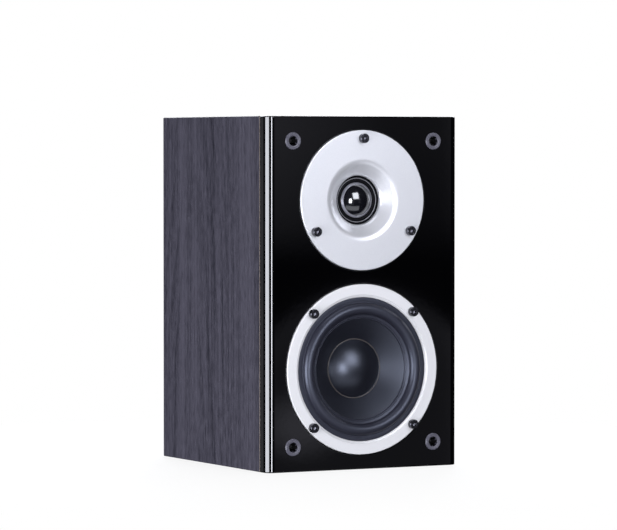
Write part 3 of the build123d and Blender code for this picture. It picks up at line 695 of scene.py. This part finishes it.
def arcThrough(first, middle, last, count=40):
    # the circle through three points, walked from the first to the last
    (ax, ay), (bx, by), (cx, cy) = first, middle, last
    d = 2 * (ax * (by - cy) + bx * (cy - ay) + cx * (ay - by))
    ux = ((ax**2 + ay**2) * (by - cy) + (bx**2 + by**2) * (cy - ay) + (cx**2 + cy**2) * (ay - by)) / d
    uy = ((ax**2 + ay**2) * (cx - bx) + (bx**2 + by**2) * (ax - cx) + (cx**2 + cy**2) * (bx - ax)) / d
    start, end = math.atan2(ay - uy, ax - ux), math.atan2(cy - uy, cx - ux)
    end = start + (end - start + math.pi) % (2 * math.pi) - math.pi
    a = np.linspace(start, end, count)
    radius = math.hypot(ax - ux, ay - uy)
    return np.stack([ux + radius * np.cos(a), uy + radius * np.sin(a)], -1)


spider = {"outer": 34.6, "inner": 14.6, "swing": 0.9, "pitch": 3.4, "cloth": 0.5}


def makeSpider():
    # a corrugated disc: depth = middle + swing sin(waves), fading to flat where it is glued
    k = spider
    middle = (middleOf("woofer_spider").y - face) / mm
    r = np.linspace(k["outer"], k["inner"], 90)
    fade = np.clip((k["outer"] - r) / 3.0, 0, 1) * np.clip((r - 15.4) / 2.0, 0, 1)
    depth = middle + k["swing"] * np.sin(2 * math.pi * (r - 16.0) / k["pitch"]) * fade
    front = np.stack([r, depth - k["cloth"] / 2], -1)
    line = np.concatenate([front, front[::-1] + [0.0, k["cloth"]], front[:1]])
    piece = spun("wooferSpider", "spider_cloth", line, wooferCentre, 128)
    stretchFor(piece, wooferCentre, 33.0, 15.5, "woofer_spider")


cone = {"edge": (40.7, 1.7), "middle": (21.7, 13.3), "neck": (13.2, 19.9), "paper": 0.9}


def makeCone():
    # an arc through the edge, the middle and the neck, as thick as the paper
    k = cone
    front = arcThrough(k["edge"], k["middle"], k["neck"])
    line = np.concatenate([front, front[::-1] + [0.0, k["paper"]], front[:1]])
    standFor(spun("wooferCone", "black_cone", line, wooferCentre, 224), "woofer_diaphragm", "woofer_cone")


dustCap = {"radius": 21.4, "base": 13.2, "apex": 5.5, "skin": 0.7, "beadAt": (21.95, 13.0), "bead": 0.42}


def makeDustCap():
    # the cap, a narrow flat lip, and the bead of glue that joins it to the cone
    k = dustCap
    outer = capOutline(k["radius"], k["base"], k["apex"], 36)
    inner = capOutline(k["radius"] - k["skin"], 13.6, k["apex"] + k["skin"], 36)[::-1]
    lip = softOutline([
        (20.7, 13.6), (22.0, 13.35, 0.1), (22.1, 12.75, 0.2), (21.6, 12.7, 0.2),
        (k["radius"], k["base"])], 4)
    line = np.concatenate([inner, lip[1:-1], outer])
    cap = spun("wooferDustCap", "dust_cap_black", line, wooferCentre)
    standFor(cap, "woofer_diaphragm", "woofer_dust_cap")
    a = np.linspace(0, 2 * math.pi, 13)[:, None]
    bead = np.array(k["beadAt"]) + k["bead"] * np.concatenate([np.cos(a), np.sin(a)], axis=1)
    brown = paintMoulded("glueBead", (0.060, 0.052, 0.048), 0.3, grain=0.00001)
    rideOn(spun("wooferDustCapBead", brown, bead, wooferCentre), "woofer_diaphragm")


# knots are (across, depth, up) from the woofer's centre, from the terminal strip to the cone
tinsel = {
    "radius": 0.6, "fixed": -48.0, "moving": -26.0, "knots": [
        (9.0, 19.6, -51.5), (11.5, 18.2, -45.0), (12.5, 20.8, -37.5), (10.0, 19.4, -30.0),
        (8.0, 13.0, -24.0)]}


def makeTinselLeads():
    # a tube along a smooth curve through the points: each ring is turned square to the curve's direction
    k = tinsel
    tubes = []
    for side in (-1, 1):
        knots = np.array(k["knots"]) * [side, 1, 1]
        at = np.linspace(0, len(knots) - 1, 60)
        fit = [np.polyfit(np.arange(len(knots)), knots[:, axis], len(knots) - 1) for axis in range(3)]
        path = np.stack([np.polyval(f, at) for f in fit], -1)
        way = np.gradient(path, axis=0)
        way /= np.linalg.norm(way, axis=1)[:, None]
        first = np.cross(way, [1.0, 0.0, 0.0])
        first /= np.linalg.norm(first, axis=1)[:, None]
        second = np.cross(way, first)
        a = np.linspace(0, 2 * math.pi, 12, endpoint=False)[None, :, None]
        reach = np.full((len(path), 1, 1), k["radius"])
        reach[[0, -1]] = 0.0
        grid = path[:, None] + reach * (first[:, None] * np.cos(a) + second[:, None] * np.sin(a))
        mesh = surfaceMesh("wooferTinselLead", grid * mm + np.array(wooferCentre))
        tubes.append(pieceFrom(f"wooferTinselLead{side}", mesh, "copper_winding"))
    leads = joinedPieces("wooferTinselLeads", tubes)
    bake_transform(leads)
    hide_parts("woofer_tinsel_leads")


capScrew = {"head": 3.5, "tall": 4.0, "flats": 3.0, "socketDeep": 2.0, "shank": 2.0, "length": 16.0}


def hexReach(angle):
    # the distance from a hexagon's middle to its side at each angle, where it is 1 at a flat
    return 1.0 / np.cos((angle + math.pi / 6) % (math.pi / 3) - math.pi / 6)


def capScrewMesh(name, seat, centre):
    # outline rings from the socket's floor out over the head and down the shank; the socket's rings are
    # pulled to a hexagon, and the head's side is knurled with a shallow wave
    k = capScrew
    top = seat - k["tall"]
    flat = k["flats"] / 2
    corners = [
        (0.0, top + k["socketDeep"] + 0.5), (flat, top + k["socketDeep"], 0.05), (flat, top + 0.15, 0.05),
        (flat + 0.28, top, 0.05), (k["head"] - 0.35, top, 0.12), (k["head"], top + 0.4, 0.15),
        (k["head"], seat - 0.15, 0.05), (k["head"] - 0.15, seat), (k["shank"], seat),
        (k["shank"], seat + k["length"] - 2.0), (0.0, seat + k["length"])]
    line = supported(softOutline(corners, 4))

    def shape(radius, depth, angle):
        inSocket = (radius <= flat + 0.01) & (depth < seat - 0.5)
        knurled = radius + 0.045 * np.cos(angle * 32) * ((radius > k["head"] - 0.05) & (depth > top + 0.55))
        return np.where(inSocket, radius * hexReach(angle), knurled)

    return surfaceMesh(name, turnedGrid(line, centre, 96, shape))


def makeCapScrews(name, node, driver, circle, count, first, seat):
    # equal steps round the driver's centre, from the first one's angle in degrees
    pieces = []
    for k in range(count):
        a = math.radians(first + 360 * k / count)
        centre = (driver[0] + circle * math.cos(a) * mm, driver[1], driver[2] + circle * math.sin(a) * mm)
        pieces.append(pieceFrom(f"{name}{k}", capScrewMesh(name, seat, centre), "black_oxide_steel"))
    standFor(joinedPieces(name, pieces), "cabinet", node)


socket = {"bore": 3.7, "footprint": 6.9, "rib": 2.65, "inner": 3.9, "mouth": 0.3, "deep": 11.0, "body": 5.2}


def makeSockets():
    # a cup whose inner wall, below its round mouth, swells into six rounded ribs
    k = socket
    low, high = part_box("grille_sockets")
    corners = [
        (0.0, k["deep"] - 1.2), (k["inner"], k["deep"] - 1.2, 0.2), (k["inner"], k["mouth"] + 0.35, 0.05),
        (k["bore"], k["mouth"], 0.1), (k["bore"], -0.75, 0.25), (4.7, -0.95, 0.2), (4.95, -0.8, 0.15),
        (5.2, -0.95, 0.2), (5.95, -0.98, 0.3), (6.4, -0.35, 0.3), (6.45, 0.0),
        (k["body"], 0.0), (k["body"], k["deep"], 0.3), (0.0, k["deep"])]
    line = supported(softOutline(corners, 6))

    def ribbed(radius, depth, angle):
        wave = np.clip((np.cos(6 * (angle - math.pi / 6)) - 0.80) / 0.20, 0, 1) ** 0.5
        inside = (radius <= k["inner"] + 0.01) & (depth > k["mouth"] + 0.2) & (radius > k["rib"])
        inside &= depth < k["deep"] - 1.0
        return np.where(inside, radius - (radius - k["rib"]) * wave, radius)

    pieces = []
    for x in (low.x + k["footprint"] * mm, high.x - k["footprint"] * mm):
        for z in (low.z + k["footprint"] * mm, high.z - k["footprint"] * mm):
            mesh = surfaceMesh("grilleSocket", turnedGrid(line, (x, face, z), 144, ribbed))
            pieces.append(pieceFrom(f"grilleSocket{len(pieces)}", mesh, "grey_socket_plastic"))
    standFor(joinedPieces("grilleSockets", pieces), "cabinet", "grille_sockets")


makeFaceplate()
makeClampRing()
makeDome()
makeTweeterSurround()
makeTrimRing()
makeWooferSurround()
makeSpider()
makeCone()
makeDustCap()
makeTinselLeads()
makeCapScrews("wooferScrews", "woofer_screws", wooferCentre, 59.5, 4, 45, -0.9)
makeCapScrews("tweeterScrews", "tweeter_screws", tweeterCentre, 45.9, 3, 90, -0.9)
makeSockets()
print("stage: front made")


port = {"bore": 17.0, "wall": 2.0, "flange": 32.0, "flare": 13.0}


def makePort():
    # the mouth flares as a quarter ellipse from the bore to the flange; both ends are rounded
    k = port
    low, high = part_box("port_tube")
    centre = axisOf("port_tube", 0.0)
    inner, outer = low.y / mm, high.y / mm
    a = np.linspace(0, math.pi / 2, 28)
    wide, skin = k["flange"] - 5.0 - k["bore"], k["bore"] + k["wall"]
    flare = np.stack([k["bore"] + wide * (1 - np.cos(a)), outer - k["flare"] + k["flare"] * np.sin(a)], -1)
    rest = softOutline([
        (k["bore"] + wide, outer), (k["flange"], outer, 0.9), (k["flange"], outer - 2.5, 0.2),
        (28.0, outer - 2.5, 0.5), (21.6, outer - 8.4, 6.0), (skin, outer - 16.0, 6.0), (skin, inner, 0.8),
        (k["bore"], inner, 0.8), (k["bore"], inner + 3.0)])
    line = np.concatenate([flare, rest[1:], flare[:1]])
    standFor(spun("portTube", "black_moulding", line, centre, 160), "cabinet", "port_tube")


def roundedLoop(halfX, halfZ, corner, count=12):
    # a rectangle with quarter circles at its corners, as (x, z) points
    loop = []
    for k, (sx, sz) in enumerate([(1, 1), (-1, 1), (-1, -1), (1, -1)]):
        a = np.linspace(0, math.pi / 2, count) + k * math.pi / 2
        loop.append(np.stack([sx * (halfX - corner) + corner * np.cos(a),
                              sz * (halfZ - corner) + corner * np.sin(a)], -1))
    return np.concatenate(loop)


terminalCup = {"floor": 3.0, "lip": 2.5}


def makeTerminalCup():
    # rings of one rounded rectangle, each with its own half sizes, corner and depth, from the floor's
    # middle out over the flange and back round the body
    low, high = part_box("terminal_cup")
    centre = middleOf("terminal_cup")
    back, front = low.y / mm, high.y / mm
    floor, lip = back + terminalCup["floor"], front - terminalCup["lip"]
    rings = [
        (0.5, 0.5, 0.4, floor), (29.6, 20.6, 3.0, floor), (30.6, 21.6, 3.2, floor + 0.3),
        (30.9, 21.9, 3.4, floor + 1.0), (31.0, 22.0, 3.5, front - 1.2), (31.2, 22.2, 3.7, front - 0.5),
        (31.8, 22.8, 4.0, front - 0.05), (32.4, 23.4, 4.4, front), (41.6, 27.6, 5.2, front),
        (42.6, 28.6, 5.8, front - 0.4), (43.0, 29.0, 6.0, front - 1.1), (43.0, 29.0, 6.0, lip),
        (33.0, 24.0, 5.0, lip), (33.0, 24.0, 5.0, back), (0.5, 0.5, 0.4, back)]
    rows = []
    for (ax, az, ac, ay), (bx, bz, bc, by) in zip(rings, rings[1:]):
        steps = 4 if math.hypot(bx - ax, by - ay) > 2 else 1
        for share in np.arange(steps) / steps:
            rows.append([(1 - share) * p + share * q for p, q in ((ax, bx), (az, bz), (ac, bc), (ay, by))])
    rows.append(rings[-1])
    loops = np.stack([np.insert(roundedLoop(hx, hz, c), 1, y, axis=1) for hx, hz, c, y in rows])
    loops[0, :, [0, 2]] = 0.0
    loops[-1, :, [0, 2]] = 0.0
    grid = loops * mm + np.array([centre.x, 0.0, centre.z])
    piece = pieceFrom("terminalCup", surfaceMesh("terminalCup", grid), "black_moulding")
    standFor(piece, "cabinet", "terminal_cup")


cupScrew = {"head": 3.1, "crown": 2.1, "arm": 1.75, "slot": 0.42, "sink": 1.3, "shank": 1.5, "length": 12.0}


def makeCupScrews():
    # a low dome whose middle is sunk in a cross: the sink follows the nearer arm's half width
    low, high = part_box("terminal_cup_screws")
    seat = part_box("terminal_cup")[1].y / mm
    k, head, pieces = cupScrew, cupScrew["head"], []
    for x in (low.x + head * mm, high.x - head * mm):
        for z in (low.z + head * mm, high.z - head * mm):
            a = np.linspace(0, 2 * math.pi, 96, endpoint=False)[None, :]
            r = np.linspace(0, head, 40)[:, None]
            crown = seat + k["crown"] * np.sqrt(np.clip(1 - (r / (head + 0.35)) ** 2, 0, 1)) + 0 * a
            u, v = np.abs(r * np.cos(a)), np.abs(r * np.sin(a))
            arm = np.clip((k["slot"] - np.minimum(u, v)) / 0.14, 0, 1)
            arm *= np.clip((k["arm"] - np.maximum(u, v)) / 0.4, 0, 1)
            top = np.stack([r * np.cos(a), crown - k["sink"] * arm, r * np.sin(a)], -1)
            r = np.array([head, k["shank"], k["shank"], 0.0])[:, None]
            depth = np.array([seat, seat, seat - k["length"] + 1.5, seat - k["length"]])[:, None] + 0 * a
            under = np.stack([r * np.cos(a), depth, r * np.sin(a)], -1)
            mesh = surfaceMesh("cupScrew", np.concatenate([top, under]) * mm + np.array([x, 0.0, z]))
            pieces.append(pieceFrom(f"cupScrew{len(pieces)}", mesh, "black_oxide_steel"))
    standFor(joinedPieces("terminalCupScrews", pieces), "cabinet", "terminal_cup_screws")


knob = {"radius": 7.0, "flutes": 14, "bore": 3.35, "sink": 0.75}


def makePostParts(side):
    # collar and knob are turned; the knob's grip is fluted by a wave of its radius
    k = knob
    low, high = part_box(f"{side}_post_collar")
    centre = axisOf(f"{side}_post_collar", 0.0)
    near, far = low.y / mm, high.y / mm
    collar = turned(f"{side}PostCollar", f"{side}_plastic", [
        (3.1, near), (8.0, near, 0.1), (8.0, far - 0.6, 0.3), (7.4, far, 0.3), (3.4, far, 0.2),
        (3.1, far - 0.3), (3.1, near)], centre, 128)
    standFor(collar, "cabinet", f"{side}_post_collar")
    low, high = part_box(f"{side}_post_knob")
    start, end = low.y / mm, high.y / mm

    def fluted(radius, depth, angle):
        wave = np.clip((np.cos(k["flutes"] * angle) - 0.1) / 0.9, 0, 1)
        grip = np.clip((depth - start - 1.2) / 0.6, 0, 1) * np.clip((radius - 4.9) / 0.8, 0, 1)
        return radius - k["sink"] * wave * grip

    body = turned(f"{side}PostKnob", f"{side}_plastic", [
        (k["bore"], start), (k["radius"] - 0.6, start, 0.2), (k["radius"], start + 0.6, 0.3),
        (k["radius"], end - 3.0, 0.8), (k["radius"] - 1.6, end - 0.6, 0.6), (k["radius"] - 2.2, end, 0.4),
        (k["bore"] + 0.3, end, 0.2), (k["bore"], end - 0.4, 0.2), (k["bore"], end - 3.5), (4.6, end - 3.5),
        (4.6, start + 0.3), (k["bore"], start + 0.3), (k["bore"], start)], centre, 224, fluted, 5)
    standFor(body, f"{side}_knob", f"{side}_post_knob")


makePort()
makeTerminalCup()
makeCupScrews()
for side in ("red", "black"):
    makePostParts(side)
print("stage: rear made")


# side and top: a pad's two spans and its thickness
foam = {
    "pitch": 16.0, "crest": 5.0, "step": 2.0, "gap": 0.3,
    "side": ((-22, 66), (100, 236), 14.0), "top": ((-46, 66), (-52, 52), 12.0)}


def makeFoam():
    # egg crate: thickness = full - crest (1 - sin u sin v) / 2 on the side that faces into the cabinet,
    # with the pad's edge rounded off by a power of the distance to it
    k = foam
    low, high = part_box("acoustic_foam")
    pieces = []
    for kind, wallAt, into in (("side", low.x, 1), ("side", high.x, -1), ("top", high.z, -1)):
        (y0, y1), (t0, t1), thick = k[kind]
        y = np.linspace(y0 + 0.5, y1 - 0.5, int((y1 - y0) / k["step"]))
        t = np.linspace(t0 + 0.5, t1 - 0.5, int((t1 - t0) / k["step"]))
        yy, tt = np.meshgrid(y, t, indexing="ij")
        wave = np.sin(2 * math.pi * yy / k["pitch"]) * np.sin(2 * math.pi * tt / k["pitch"])
        edge = np.minimum(np.minimum(yy - y0, y1 - yy), np.minimum(tt - t0, t1 - tt))
        rise = (thick - 0.5 - k["crest"] * (1 - wave) / 2) * np.clip(edge / 4.0, 0.05, 1) ** 0.35
        upper = np.stack([yy, tt, rise], -1)
        flat, lift = [1, 1, 0], [0, 0, k["gap"]]
        lower = upper * flat + lift
        rows = np.concatenate([lower[:, :1], upper, lower[:, -1:]], axis=1)
        ends = np.concatenate([rows[:1] * flat + lift, rows, rows[-1:] * flat + lift])
        under = ends[:, ::-1] * flat + lift
        ring = np.concatenate([ends, under[:, 1:-1]], axis=1)
        across, along, up = ring[..., 0] * mm, ring[..., 1] * mm, ring[..., 2] * mm
        if kind == "side":
            grid = np.stack([wallAt + into * up, across, along], -1)
        else:
            grid = np.stack([along, across, wallAt + into * up], -1)
        mesh = surfaceMesh("foamPad", grid)
        pieces.append(pieceFrom(f"foamPad{len(pieces)}", mesh, "grey_foam"))
    pad = joinedPieces("acousticFoam", pieces)
    standFor(pad, "cabinet", "acoustic_foam")


makeFoam()
print("stage: inside made")


studio = {
    "leftBox": {"heading": 193.0, "distance": 1.5, "height": -0.05, "size": (1.50, 0.70), "glow": 12.5},
    "frontBox": {"heading": 256.0, "distance": 1.9, "height": 0.06, "size": (0.33, 0.56), "glow": 24.0},
    "rightBox": {"heading": 281.0, "distance": 1.9, "height": 0.78, "size": (0.90, 0.90), "glow": 7.5},
    "sideBox": {"heading": 8.0, "distance": 1.9, "height": 1.05, "size": (1.20, 1.00), "glow": 4.5},
    "rearBox": {"heading": 70.0, "distance": 1.9, "height": 0.80, "size": (1.50, 1.30), "glow": 8.0},
    "lowBox": {"heading": 268.0, "distance": 1.3, "height": -0.75, "size": (1.80, 0.55), "glow": 0.9},
    "edgeBox": {"heading": 120.0, "distance": 2.0, "height": 0.05, "size": (0.50, 0.70), "glow": 0.22},
    "topBox": {"heading": 200.0, "distance": 0.4, "height": 1.90, "size": (1.40, 1.40), "glow": 1.6},
}
lightTint = (0.94, 0.96, 1.04)


def addSoftbox(name, heading, distance, height, size, glow):
    # heading is counted from +X towards +Y; glow is the light's radiance, and power = glow pi area
    lamp = bpy.data.lights.new(name, "AREA")
    lamp.shape = "RECTANGLE"
    lamp.size, lamp.size_y = size
    lamp.energy = glow * math.pi * size[0] * size[1]
    lamp.color = lightTint
    obj = bpy.data.objects.new(name, lamp)
    bpy.context.scene.collection.objects.link(obj)
    a = math.radians(heading)
    target = (cadBox[0] + cadBox[1]) / 2
    obj.location = (distance * math.cos(a), distance * math.sin(a), height)
    obj.rotation_mode = "QUATERNION"
    obj.rotation_quaternion = (target - obj.location).to_track_quat("-Z", "Y")
    obj.visible_camera = False


for name, values in studio.items():
    addSoftbox(name, **values)


frontCard = {
    "plane": -1.9, "left": 0.80, "right": 1.25, "low": -0.26, "high": 0.36, "scale": 1.763, "middle": 1.002,
    "sink": 0.1816}


def makeFrontCard():
    # a dim card that only the polished baffle shows; x and z are where its light lands on the baffle. It
    # is light above z = 0.19 and below an arc, z = 0.14 - 5.5 x^2, brighter to the left, with a soft patch
    k = frontCard
    x, z = np.meshgrid([k["left"], k["right"]], [k["low"], k["high"]])
    mesh = surfaceMesh("frontCard", np.stack([x, np.full_like(x, k["plane"]), z], -1), wrapColumns=False)
    paint = Paint("cardGlow", (0.0, 0.0, 0.0), 1.0, Specular_IOR_Level=0.0, Emission_Strength=1.0)
    x, _, z = paint.axes(paint.place())
    x, z = (x - k["middle"]) / k["scale"], (z + k["sink"]) / k["scale"]
    upper = paint.ramp(z * 4.0, (0.62, 0.0), (0.74, 0.5), (1.0, 1.0))
    lower = paint.ramp((z + x * x * 5.5) * 4.0, (0.40, 0.7), (0.52, 1.0), (0.565, 0.0))
    leftward = paint.ramp(x * 5.0 + 0.5, (0.15, 1.0), (0.60, 0.35))
    rightEdge = paint.ramp(x * 5.0 + 0.5, (0.84, 0.0), (0.90, 1.0))
    awayX, awayZ = x + 0.052, (z - 0.034) * 1.5
    patch = paint.ramp((awayX * awayX + awayZ * awayZ) ** 0.5 * 10.0, (0.12, 1.0), (0.42, 0.0))
    glow = upper * leftward * 0.26 + lower * 0.15 + patch * 0.40 + (upper + lower) * rightEdge * 0.09
    paint.wear("Emission Color", paint.joined(glow * 0.94, glow * 0.94, glow * 1.10))
    card = pieceFrom("frontCard", mesh, paint.finished())
    card.visible_camera = card.visible_diffuse = card.visible_shadow = False


# (distance, how white)
floorFade = ((0.10, 0.86), (0.45, 1.0))


def makeFloor():
    # a wide disc: pale and shaded near the object, fading to the backdrop's white by distance
    a = np.linspace(0, 2 * math.pi, 128, endpoint=False)
    r = np.array([0.0, 0.3, 0.6, 1.2, 2.4, 5.0, 12.0, 40.0])[:, None]
    grid = np.stack([r * np.cos(a), r * np.sin(a), np.zeros((len(r), len(a))) - 0.0001], -1)
    paint = Paint("floorPale", (0.86, 0.86, 0.86), 0.7)
    away = paint.vector("LENGTH", paint.vector("MULTIPLY", paint.place(), (1.0, 1.0, 0.0)), output="Value")
    far = paint.ramp(away, *floorFade)
    glow = paint.node("ShaderNodeEmission", {}, {"Color": (1, 1, 1, 1), "Strength": 1.0})
    mixed = paint.node("ShaderNodeMixShader", {}, {0: far, 1: paint.shader, 2: glow})
    floor = pieceFrom("floor", surfaceMesh("floor", grid), paint.finished(mixed))
    floor.visible_glossy = floor.visible_diffuse = floor.visible_shadow = False


room = {"seen": 1.0, "above": 0.20, "below": 0.03, "mirrored": 0.12}


def makeWorld():
    # white behind the object for the camera; for everything else a grey room, darker below the horizon,
    # and of that only a part in reflections
    k = room
    world = bpy.data.worlds.new("studioRoom")
    world.use_nodes = True
    bpy.context.scene.world = world
    sky = Nodes(world.node_tree)
    seen, mirrored = sky.node("ShaderNodeLightPath", outputs=("Is Camera Ray", "Is Glossy Ray"))
    _, _, up = sky.axes(sky.node("ShaderNodeTexCoord", outputs=("Generated",)))
    level = sky.node("ShaderNodeMapRange", {}, {
        "Value": up, "From Min": -0.1, "From Max": 0.3, "To Min": k["below"], "To Max": k["above"]})
    dim = level * (1.0 - mirrored * (1.0 - k["mirrored"]))
    grey = sky.node("ShaderNodeBackground", {}, {"Color": (0.93, 0.95, 1.0, 1), "Strength": dim})
    white = sky.node("ShaderNodeBackground", {}, {"Color": (1, 1, 1, 1), "Strength": k["seen"]})
    mixed = sky.node("ShaderNodeMixShader", {}, {0: seen, 1: grey, 2: white})
    sky.node("ShaderNodeOutputWorld", {}, {0: mixed}, ())


cameraSetup = {"heading": 28.08, "distance": 2.789, "height": 0.2377, "lens": 213.4, "tilt": 1.8156}


def makeCamera():
    # stands back from the origin along its own heading, which is counted from +Y towards +X, and looks a
    # little down
    k = cameraSetup
    data = bpy.data.cameras.new("camera")
    data.lens, data.sensor_width = k["lens"], 36.0
    data.clip_start, data.clip_end = 0.05, 200.0
    camera = bpy.data.objects.new("camera", data)
    bpy.context.scene.collection.objects.link(camera)
    a = math.radians(k["heading"])
    camera.location = (-k["distance"] * math.sin(a), -k["distance"] * math.cos(a), k["height"])
    camera.rotation_euler = (math.pi / 2 - math.radians(k["tilt"]), 0.0, -a)
    bpy.context.scene.camera = camera


makeFrontCard()
makeFloor()
makeWorld()
makeCamera()
bpy.context.scene.view_settings.view_transform = "Standard"
print("stage: studio made")

bpy.context.view_layer.update()
